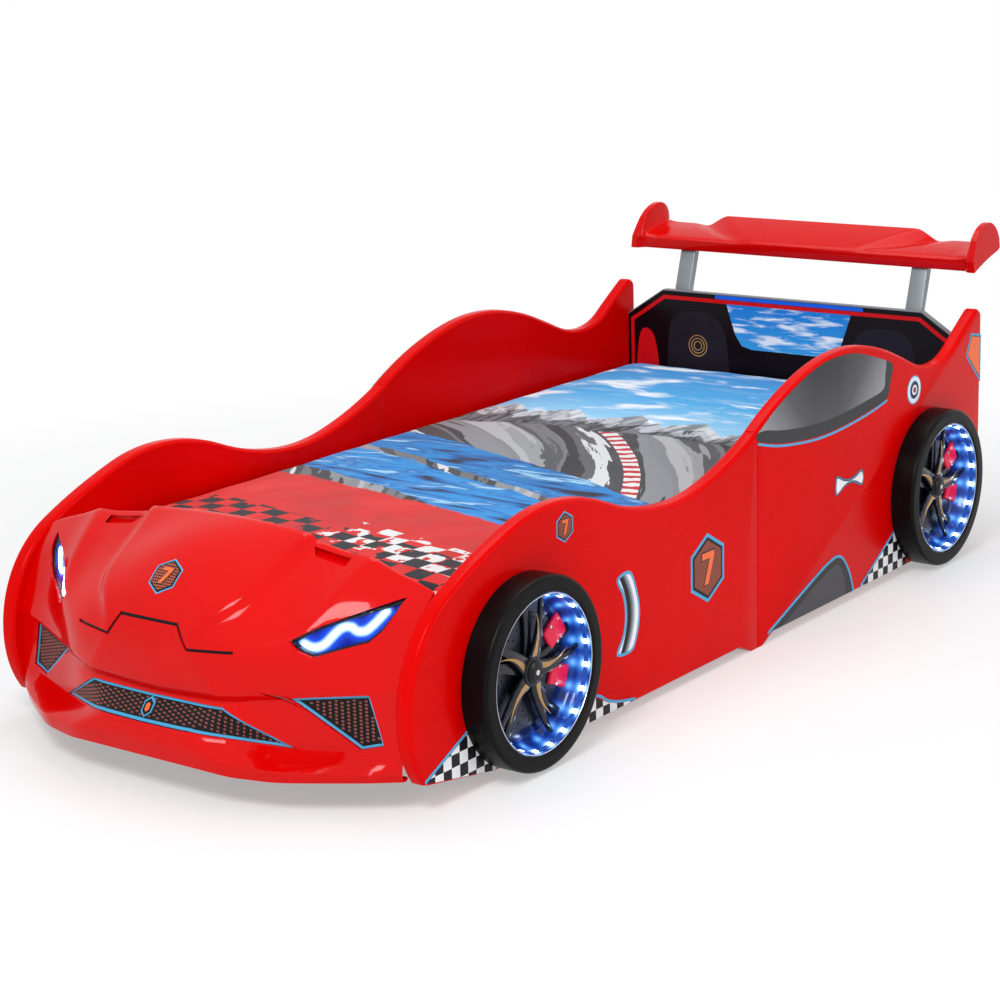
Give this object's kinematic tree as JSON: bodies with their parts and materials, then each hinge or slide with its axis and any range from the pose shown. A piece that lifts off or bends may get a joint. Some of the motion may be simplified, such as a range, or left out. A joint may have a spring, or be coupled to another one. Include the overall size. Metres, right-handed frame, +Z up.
{
  "type": "child's race-car bed",
  "caption": "Child's bed shaped like a low race car: wavy side panels, moulded nose, dummy wheels, rear wing over the headboard, slatted base and a patterned mattress.",
  "frame": {"origin": "on the floor, below the centre of the bounding box", "axes": "+Z up; the nose points along -Y and the headboard stands at the +Y end; +X is the car's own left, the side that the picture shows"},
  "size_m": [1.094, 2.414, 0.727],
  "materials": {
    "panel": "gloss red lacquered board with printed film",
    "printed_board": "printed film on board",
    "edging": "satin edging strip",
    "plain_board": "plain white board",
    "softwood": "planed timber",
    "moulding": "gloss red moulding",
    "grille": "black mesh print",
    "lens": "clear lens",
    "tray": "black",
    "tyre": "smooth black",
    "rim": "gloss black",
    "spokes": "gloss black with bronze faces",
    "cap": "gloss black",
    "led": "lit strip",
    "disc": "brushed",
    "caliper": "pinkish red",
    "hardware": "zinc plated",
    "glide": "black",
    "driver": "white",
    "wing": "gloss red moulding",
    "post": "satin grey",
    "mattress": "printed quilted cover"
  },
  "bodies": {
    "bed": {"side_panel_left_front": "panel", "side_panel_left_rear": "panel", "side_panel_right_front": "panel", "side_panel_right_rear": "panel", "headboard": "printed_board", "headboard_edging": "edging", "footboard": "plain_board", "nose_cleat": "softwood", "slat_rail_left": "softwood", "slat_rail_right": "softwood", "centre_beam": "softwood", "beam_legs": "softwood", "bed_slats": "softwood", "tyres": "tyre", "rim_barrels": "rim", "led_strips": "led", "brake_discs": "disc", "brake_calipers": "caliper", "spoke_spiders": "spokes", "hub_caps": "cap", "joint_plates": "hardware", "corner_brackets": "hardware", "glide_feet": "glide", "led_driver": "driver", "rear_wing": "wing", "wing_post_left": "post", "wing_post_right": "post", "nose_moulding": "moulding", "centre_grille": "grille", "side_grille_left": "grille", "side_grille_right": "grille", "headlight_lens_left": "lens", "headlight_lens_right": "lens", "headlight_tray_left": "tray", "headlight_tray_right": "tray"},
    "mattress": {"mattress": "mattress"}
  },
  "joints": [
    {"name": "mattress_lift", "type": "slide", "parent": "bed", "child": "mattress", "axis": [0, 0, 1], "range_m": [0, 0.4]}
  ]
}
